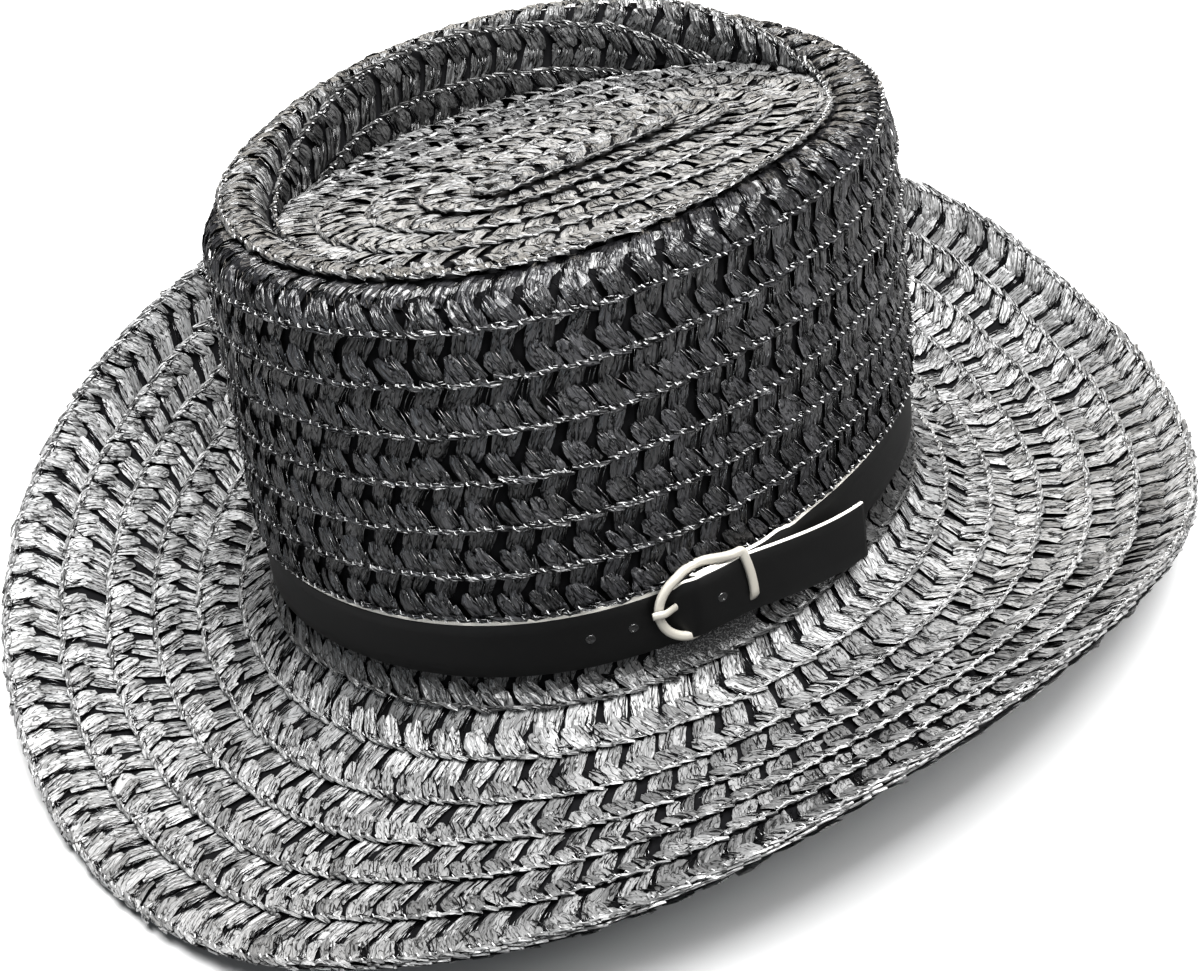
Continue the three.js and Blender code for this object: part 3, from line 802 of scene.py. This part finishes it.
def hole_rings(sides=16):
    """The belt's punched holes: a low rim round a dark floor, for each hole that shows."""
    rings = []
    turn = np.arange(sides) * TURN / sides
    for number in (-2, -1, 1):
        distance = -0.51 * FRAME_ROUND_END + number * BELT_HOLE_PITCH
        on_tail = number > 0
        level = (TAIL_LEVEL if on_tail else STRAP_LEVEL) + STRAP_THICKNESS / 2 + STRAP_PROUD
        height = STRAP_MIDDLE + (BUCKLE_RISE * 0.9 if on_tail else 0)
        for share, out in HOLE_RIM:
            radius = BELT_HOLE * share
            across = height + radius * np.sin(turn)
            rings.append(beside(distance + radius * np.cos(turn), level + out, across))
    return np.array(rings).reshape(-1, len(HOLE_RIM), len(turn), 3)


def patch_sections():
    """The knitted patch under the buckle: rounds of loops down the crown's foot and over the brim."""
    spans, rows = 100, 34
    shift, loop_width, relief, flare = 2.0, 1.25, 0.45, 0.35
    rounds = [(row, False) for row in range(0, rows + 1, 4)] + [(row, True) for row in range(rows, -1, -1)]
    sections = []
    for span in range(spans + 1):
        distance = PATCH_LENGTH * (span / spans - 0.5) + shift
        section = []
        for row, outer in rounds:
            height = mix(STRAP_FOOT - GAP, -PATCH_FALL, row / rows)
            loop = abs(math.sin(math.pi * (distance / loop_width + 0.35 * math.sin(math.pi * row / 2))))
            level = 1.6 * GAP + outer * (PATCH_THICKNESS + relief * loop * (0.5 + 0.5 * (row % 2)))
            angle = foot_angle(np.array([distance]))
            out = max(0.0, -height) * flare
            place = side_point(angle, np.maximum([height], 0)) + side_outward(angle) * (level + out)
            place[..., 2] = height
            section.append(place[0])
        sections.append(section)
    return np.array(sections)


# Materials

def linear(text):
    """An sRGB hex colour as linear values with alpha."""
    values = [int(text[place:place + 2], 16) / 255 for place in (1, 3, 5)]
    return [v / 12.92 if v <= 0.04045 else ((v + 0.055) / 1.055) ** 2.4 for v in values] + [1.0]


def node(tree, kind, links=None, **settings):
    """Adds a node with its settings, its input values and what feeds its inputs."""
    made = tree.nodes.new(kind)
    for key, value in settings.items():
        setattr(made, key, value)
    for key, value in (links or {}).items():
        socket = made.inputs[key]
        if isinstance(value, bpy.types.NodeSocket):
            tree.links.new(value, socket)
        else:
            socket.default_value = value
    return made


def new_material(name):
    made = bpy.data.materials.new(name)
    made.use_nodes = True
    tree = made.node_tree
    tree.nodes.clear()
    shader = node(tree, "ShaderNodeBsdfPrincipled")
    node(tree, "ShaderNodeOutputMaterial", {"Surface": shader.outputs["BSDF"]})
    return made, tree, shader


def paper_straw(name, dark, light, roughness):
    """Folded strips of dyed paper: a satin face with fine creases along each strip, painted dark along the
    creases as shade.
    """
    made, tree, shader = new_material(name)
    uv = node(tree, "ShaderNodeUVMap", uv_map="strand_uv")
    shade = node(tree, "ShaderNodeAttribute", attribute_name="shade")
    # The map is in millimetres: folds about 0.8 mm apart run along a strip, with fibres between
    folds = node(tree, "ShaderNodeMapping", {"Vector": uv.outputs["UV"], "Scale": (0.2, 0.8, 1.0)})
    fold = node(tree, "ShaderNodeTexNoise", {
        "Vector": folds.outputs["Vector"], "Scale": 1.0, "Detail": 2.0, "Roughness": 0.5, "Distortion": 0.4,
    })
    fibres = node(tree, "ShaderNodeMapping", {"Vector": uv.outputs["UV"], "Scale": (0.7, 6.0, 1.0)})
    fibre = node(tree, "ShaderNodeTexNoise", {
        "Vector": fibres.outputs["Vector"], "Scale": 1.0, "Detail": 2.0, "Roughness": 0.6,
    })
    colour = node(tree, "ShaderNodeMix", {
        0: shade.outputs["Fac"], 6: linear(dark), 7: linear(light),
    }, data_type="RGBA")
    # Thin dark lines where the fold pattern crosses its middle are painted shade in the creases; the fibre
    # veins are the paper's own tone
    ridge = node(tree, "ShaderNodeMath", {0: fold.outputs["Fac"], 1: 0.5}, operation="SUBTRACT")
    ridge = node(tree, "ShaderNodeMath", {0: ridge.outputs["Value"]}, operation="ABSOLUTE")
    crease = node(tree, "ShaderNodeMapRange", {
        "Value": ridge.outputs["Value"], 1: 0.005, 2: 0.04, 3: 0.08, 4: 1.0,
    })
    vein = node(tree, "ShaderNodeMapRange", {"Value": fibre.outputs["Fac"], 1: 0.3, 2: 0.7, 3: 0.65, 4: 1.3})
    depth = node(tree, "ShaderNodeMath", {0: crease.outputs["Result"], 1: vein.outputs["Result"]},
                 operation="MULTIPLY")
    veined_with_painted_crease_shade = node(tree, "ShaderNodeMix", {
        0: 1.0, 6: colour.outputs[2], 7: depth.outputs["Value"],
    }, data_type="RGBA", blend_type="MULTIPLY")
    tree.links.new(veined_with_painted_crease_shade.outputs[2], shader.inputs["Base Color"])
    # The gloss is dimmed by the same mask, so the painted crease shade and the fibre veins break up the
    # shine along each strip too
    gloss = node(tree, "ShaderNodeMath", {0: depth.outputs["Value"], 1: 0.55}, operation="MULTIPLY")
    tree.links.new(gloss.outputs["Value"], shader.inputs["Specular IOR Level"])
    shader.inputs["Roughness"].default_value = roughness
    fine = node(tree, "ShaderNodeBump", {
        "Height": fibre.outputs["Fac"], "Strength": 1.0, "Distance": 0.10 * MM,
    })
    bump = node(tree, "ShaderNodeBump", {
        "Height": fold.outputs["Fac"], "Strength": 1.0, "Distance": 0.9 * MM,
        "Normal": fine.outputs["Normal"],
    })
    tree.links.new(bump.outputs["Normal"], shader.inputs["Normal"])
    return made


def plain(name, colour, roughness, metallic=0.0, bump_mm=0.0, grain_mm=1.0, specular=0.5):
    """One even colour, with a fine grain where it has a depth."""
    made, tree, shader = new_material(name)
    shader.inputs["Base Color"].default_value = linear(colour)
    shader.inputs["Roughness"].default_value = roughness
    shader.inputs["Metallic"].default_value = metallic
    shader.inputs["Specular IOR Level"].default_value = specular
    if bump_mm:
        place = node(tree, "ShaderNodeTexCoord")
        noise = node(tree, "ShaderNodeTexNoise", {
            "Vector": place.outputs["Object"], "Scale": 1000 / grain_mm, "Detail": 3.0,
        })
        bump = node(tree, "ShaderNodeBump", {
            "Height": noise.outputs["Fac"], "Strength": 1.0, "Distance": bump_mm * MM,
        })
        tree.links.new(bump.outputs["Normal"], shader.inputs["Normal"])
    return made


def knit(name, dark, light):
    """Fuzzy yarn: pale fibre ends speckle the dark loops."""
    made, tree, shader = new_material(name)
    place = node(tree, "ShaderNodeTexCoord")
    # Specks about 0.5 mm across
    fibres = node(tree, "ShaderNodeTexNoise", {
        "Vector": place.outputs["Object"], "Scale": 1900.0, "Detail": 2.0, "Roughness": 0.7,
    })
    share = node(tree, "ShaderNodeMapRange", {
        "Value": fibres.outputs["Fac"], 1: 0.48, 2: 0.66, 3: 0.0, 4: 1.0,
    })
    colour = node(tree, "ShaderNodeMix", {
        0: share.outputs["Result"], 6: linear(dark), 7: linear(light),
    }, data_type="RGBA")
    tree.links.new(colour.outputs[2], shader.inputs["Base Color"])
    shader.inputs["Roughness"].default_value = 0.85
    bump = node(tree, "ShaderNodeBump", {
        "Height": fibres.outputs["Fac"], "Strength": 1.0, "Distance": 0.5 * MM,
    })
    tree.links.new(bump.outputs["Normal"], shader.inputs["Normal"])
    return made


def dress(piece, material, slot, *stands_for):
    """Gives a piece its material and body, and hides the solids that it stands for. Its slot is not used."""
    piece.data.materials.append(material)
    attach(piece, "root")
    if stands_for:
        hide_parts(*stands_for)


# Black paper straw, dyed and braided, whose folds catch the light as grey streaks. Its four copies are one
# straw with painted light and shade. The brim's is palest, painted sheen. The tip's is a little darker, the
# rim's darker still, and the side wall's darkest, painted shade on the crown's side
STRAW = paper_straw("dyed_paper_straw", "#3f3f3f", "#656565", 0.42)
TIP_STRAW = paper_straw("dyed_paper_straw_painted_darker_on_the_tip", "#343434", "#555555", 0.42)
RIM_STRAW = paper_straw("dyed_paper_straw_painted_shade_on_the_rim", "#1e1e1e", "#3c3c3c", 0.4)
WALL_STRAW = paper_straw("dyed_paper_straw_painted_shade_on_the_wall", "#060607", "#1e1e20", 0.36)
# The shaded body of the braid behind its open strands, which swallows the light
GROUND = plain("straw_in_shadow", "#040405", 0.9, specular=0.1)
# Drawn nylon, smooth enough for a sharp glint along each bare strand
NYLON = plain("black_nylon_filament", "#060607", 0.2, specular=0.7)
# Clear nylon sewing thread, seen only as bright points where a stitch comes up. Its pale grey is partly the
# thread's own pale look and partly a painted highlight for its glints
THREAD = plain("clear_sewing_thread", "#8a8a8a", 0.15)
# The belt's skin burnished by the punch, a faint ring of light round a hole
EYELET = plain("burnished_hole_rim", "#161616", 0.25)
# Imitation leather coated in black polyurethane, nearly matt, with a fine grain
COATED = plain("coated_strap_face", "#030303", 0.5, bump_mm=0.03, grain_mm=0.5, specular=0.22)
# The undyed backing of the coated strip, which shows white along every cut edge
CORE = plain("raw_strap_backing", "#adaaa4", 0.85, bump_mm=0.05, grain_mm=0.4)
# Die-cast metal with a pale satin coat, which has a broad soft shine
BUCKLE = plain("satin_pale_plating", "#87847d", 0.4, metallic=0.25, bump_mm=0.01, grain_mm=0.8)
# Knitted polyester yarn, dark with a pale fuzz
KNIT = knit("black_knit", "#060607", "#5c5c5c")

# The hat's pieces

crown_face = Face(crown_grid, -175, 0)
brim_face = Face(brim_grid, 0, 97)
foot_face = Face(foot_grid, -20, 20)
tip_face = Face(tip_grid, 0.5, 95)

CROWN_LINES = [-CROWN_LINE - CROWN_PITCH * step for step in range(CROWN_ROWS)]
crown_rows = [(line_at(top), line_at(top + CROWN_PITCH), 1.0) for top in CROWN_LINES[1:]]
brim_rows = [(brim_line(a), brim_line(b), BRIM_STEP)
             for a, b in zip(BRIM_SHARES[:-1], BRIM_SHARES[1:])]
foot_rows = [(line_at(BRIM_LINE - PITCH), line_at(BRIM_LINE), 1.0)]


def before_crease(angle, distance):
    """The crown's strands end 3 mm past the crease at the foot of the rim's roll."""
    return distance > -(crown_length(angle) + 3.0)


def inside_tip(angle, distance):
    """The tip's strands end just past the crease, where their face turns down."""
    grid = tip_face.at(angle, distance, 0 * angle)
    return grid[..., 2] > tip_height(grid[..., 0], grid[..., 1]) - 0.9


def past_foot(angle, distance):
    """The foot's strands end 8.5 mm up the crown, where the belt covers them."""
    return distance > -8.5


# The tip's rows from the slot outwards, with a full step beside it and a low one further out
TIP_LINES = [0.6] + [7.4 + TIP_PITCH * step for step in range(7)]
tip_rows = [(line_at(a), line_at(b), 1.1 if a < 8 else 0.3)
            for a, b in zip(TIP_LINES[:-1], TIP_LINES[1:])]

open_strands = flat_strands(1.06)
full_strands = flat_strands(1.15)
coarse = coarse_strands()
bare = bare_strands()
thread = stitches()

# The side wall's rows take the darkest copy of the straw and the rim's rows a less dark one, as painted
# shade on the crown's side
wall_braid = braid_piece("crown_wall_braid", crown_face, crown_rows[:WALL_ROWS], open_strands, 11)
dress(wall_braid, WALL_STRAW, "crown_straw", "crown")
rim_braid = braid_piece("crown_rim_braid", crown_face, crown_rows[WALL_ROWS:], open_strands, 12,
                        keep=before_crease)
dress(rim_braid, RIM_STRAW, "crown_straw")
# The tip takes a copy a little darker than the brim's, as painted shade on the sunken tip
tip_braid = braid_piece("crown_tip_braid", tip_face, tip_rows, full_strands, 13, keep=inside_tip)
dress(tip_braid, TIP_STRAW, "crown_straw")
inner_braid = braid_piece("crown_inner_braid", crown_face, crown_rows[:WALL_ROWS], coarse, 16, under=True)
dress(inner_braid, STRAW, "crown_straw")
wall_bare = braid_piece("crown_wall_filaments", crown_face, crown_rows, bare, 14,
                        keep=before_crease, rough=0.02)
dress(wall_bare, NYLON, "crown_straw")
tip_bare = braid_piece("crown_tip_filaments", tip_face, tip_rows, bare, 15, keep=inside_tip, rough=0.02)
dress(tip_bare, NYLON, "crown_straw")
wall_thread = braid_piece("crown_sewing_thread", crown_face, crown_rows, thread, 17,
                          keep=before_crease, rough=0.02)
dress(wall_thread, THREAD, "crown_straw")

# The brim's foot takes the rim's darker copy of the straw, as painted shade under the belt
foot_braid = braid_piece("brim_foot_braid", foot_face, foot_rows, full_strands, 20, keep=past_foot)
dress(foot_braid, RIM_STRAW, "brim_straw")
brim_inner = braid_piece("brim_inner_braid", brim_face, brim_rows[:3], full_strands, 21)
dress(brim_inner, STRAW, "brim_straw", "brim")
brim_outer = braid_piece("brim_outer_braid", brim_face, brim_rows[3:], full_strands, 22)
dress(brim_outer, STRAW, "brim_straw")
brim_under = braid_piece("brim_under_braid", brim_face, brim_rows, coarse, 24, under=True)
dress(brim_under, STRAW, "brim_straw")
brim_edge = braid_piece("brim_edge_rope", brim_face, brim_rows[-1:], rope_strands(), 25)
dress(brim_edge, STRAW, "brim_straw")
brim_bare = braid_piece("brim_filaments", brim_face, brim_rows, bare, 23, rough=0.02)
dress(brim_bare, NYLON, "brim_straw")
brim_thread = braid_piece("brim_sewing_thread", brim_face, brim_rows, thread, 26, rough=0.02)
dress(brim_thread, THREAD, "brim_straw")


def before_next(number):
    """A line of the crown's ground, which stops short of the crease and of the line after it."""
    spare = 0.4 * (len(CROWN_LINES) - number)
    return lambda angle: -np.minimum(-CROWN_LINES[number], crown_length(angle) - spare)


shell_lines = [before_next(number) for number in range(len(CROWN_LINES) - 1, -1, -1)]
shell_lines += [line_at(-12.9), line_at(-0.2)]
crown_ground = shell_piece("crown_ground", crown_face, shell_lines, 0.8, WALL - 0.4)
dress(crown_ground, GROUND, "crown_straw")
tip_shell_lines = [line_at(0.6 + PITCH * step) for step in range(7)]
tip_ground = shell_piece("tip_ground", tip_face, tip_shell_lines, 0.7, WALL, 0.0)
dress(tip_ground, GROUND, "crown_straw")
brim_lines = [line_at(0.0)] + [brim_line(share) for share in BRIM_SHARES]
brim_ground = shell_piece("brim_ground", brim_face, brim_lines, 0.75, WALL - 0.4, BRIM_STEP)
dress(brim_ground, GROUND, "brim_straw")

strap = strap_layer("hat_strap_face", 0.2, 0.5, 0.0, 0.95)
dress(strap, COATED, "strap", "hat_strap")
core = strap_layer("hat_strap_core", -0.5, 0.3, 0.3, 0.0)
dress(core, CORE, "strap")

frame_rings = wire(frame_outline(), FRAME_WIRE, FRAME_THICKNESS, loop=True, square=4.0)
buckle = mesh_piece("buckle_wire_frame", frame_rings, tube_faces(*frame_rings.shape[:2], closed=True))
dress(buckle, BUCKLE, "buckle", "buckle_frame")
prong_rings = wire(prong_line(), PRONG_WIDTH, PRONG_THICKNESS, on_edge=True)
prong = mesh_piece("buckle_pin", prong_rings, tube_faces(*prong_rings.shape[:2]))
dress(prong, BUCKLE, "buckle", "buckle_prong")
patch_rings = patch_sections()
patch = mesh_piece("knitted_patch", patch_rings[::-1], tube_faces(*patch_rings.shape[:2]))
dress(patch, KNIT, "patch", "backing_patch")

holes = hole_rings()
number, size, sides = holes.shape[:3]
hole_faces = [faces + hole * size * sides for hole in range(number) for faces in tube_faces(size, sides)]
rims = mesh_piece("strap_hole_rims", holes, hole_faces)
dress(rims, EYELET, "strap")

# Stage, lights and camera

bpy.ops.object.select_all(action="DESELECT")
bpy.ops.mesh.primitive_plane_add(size=6, location=(0, 0, -FLOOR_DROP * MM))
floor = bpy.context.object
floor.name = "studio_floor"
floor.data.materials.append(plain("pale_table", "#8c8c8c", 0.9))

world = bpy.data.worlds.new("studio")
bpy.context.scene.world = world
world.use_nodes = True
world.node_tree.nodes["Background"].inputs["Color"].default_value = (1, 1, 1, 1)
world.node_tree.nodes["Background"].inputs["Strength"].default_value = 0.05


def area_light(name, azimuth, elevation, distance, width, height, power, tint=(1.0, 1.0, 1.0)):
    """A soft rectangular light turned towards the hat, its direction in degrees."""
    azimuth, elevation = math.radians(azimuth), math.radians(elevation)
    direction = Vector((math.sin(azimuth) * math.cos(elevation), -math.cos(azimuth) * math.cos(elevation),
                        math.sin(elevation)))
    light = bpy.data.lights.new(name, "AREA")
    light.shape = "RECTANGLE"
    light.size, light.size_y = width, height
    light.energy = power
    light.color = tint
    holder = bpy.data.objects.new(name, light)
    holder.location = Vector((0, 0, 0.05)) + direction * distance
    holder.rotation_mode = "QUATERNION"
    holder.rotation_quaternion = (-direction).to_track_quat("-Z", "Y")
    bpy.context.scene.collection.objects.link(holder)


area_light("overhead_softbox", 72, 78, 1.9, 1.3, 1.3, 214)
area_light("back_softbox", 222, 24, 2.2, 2.2, 0.9, 36, (1.0, 0.94, 0.85))
area_light("right_softbox", 88, 50, 1.8, 0.8, 0.8, 46)
area_light("right_glint", 80, 14, 1.3, 0.3, 0.1, 6)
area_light("left_glint", 8, 14, 1.3, 0.3, 0.1, 4, (0.85, 0.93, 1.0))

bpy.context.scene.view_settings.view_transform = "Standard"
bpy.context.scene.view_settings.look = "Medium High Contrast"

# The camera stands where the photograph was taken from, seen in the hat's own frame
CAMERA_AZIMUTH = math.radians(42.788)
CAMERA_ELEVATION = math.radians(31.382)
CAMERA_ROLL = math.radians(-9.349)
CAMERA_DISTANCE = 450.36
CAMERA_TARGET = Vector((61.633, -65.996, 53.960))
CAMERA_LENS = 55.856

back = Vector((math.sin(CAMERA_AZIMUTH) * math.cos(CAMERA_ELEVATION),
               -math.cos(CAMERA_AZIMUTH) * math.cos(CAMERA_ELEVATION), math.sin(CAMERA_ELEVATION)))
level = Vector((math.cos(CAMERA_AZIMUTH), math.sin(CAMERA_AZIMUTH), 0))
upward = back.cross(level)
right = level * math.cos(CAMERA_ROLL) + upward * math.sin(CAMERA_ROLL)
up = upward * math.cos(CAMERA_ROLL) - level * math.sin(CAMERA_ROLL)
place = CAMERA_TARGET + back * CAMERA_DISTANCE
turned = REST_TURN.to_matrix() @ Matrix((right, up, back)).transposed()
camera = bpy.data.objects.new("camera", bpy.data.cameras.new("camera"))
camera.data.lens = CAMERA_LENS
camera.data.sensor_width = 36.0
camera.data.clip_start = 0.01
camera.location = (REST_TURN @ place + REST_SHIFT) * MM
camera.rotation_mode = "QUATERNION"
camera.rotation_quaternion = turned.to_quaternion()
bpy.context.scene.collection.objects.link(camera)
bpy.context.scene.camera = camera
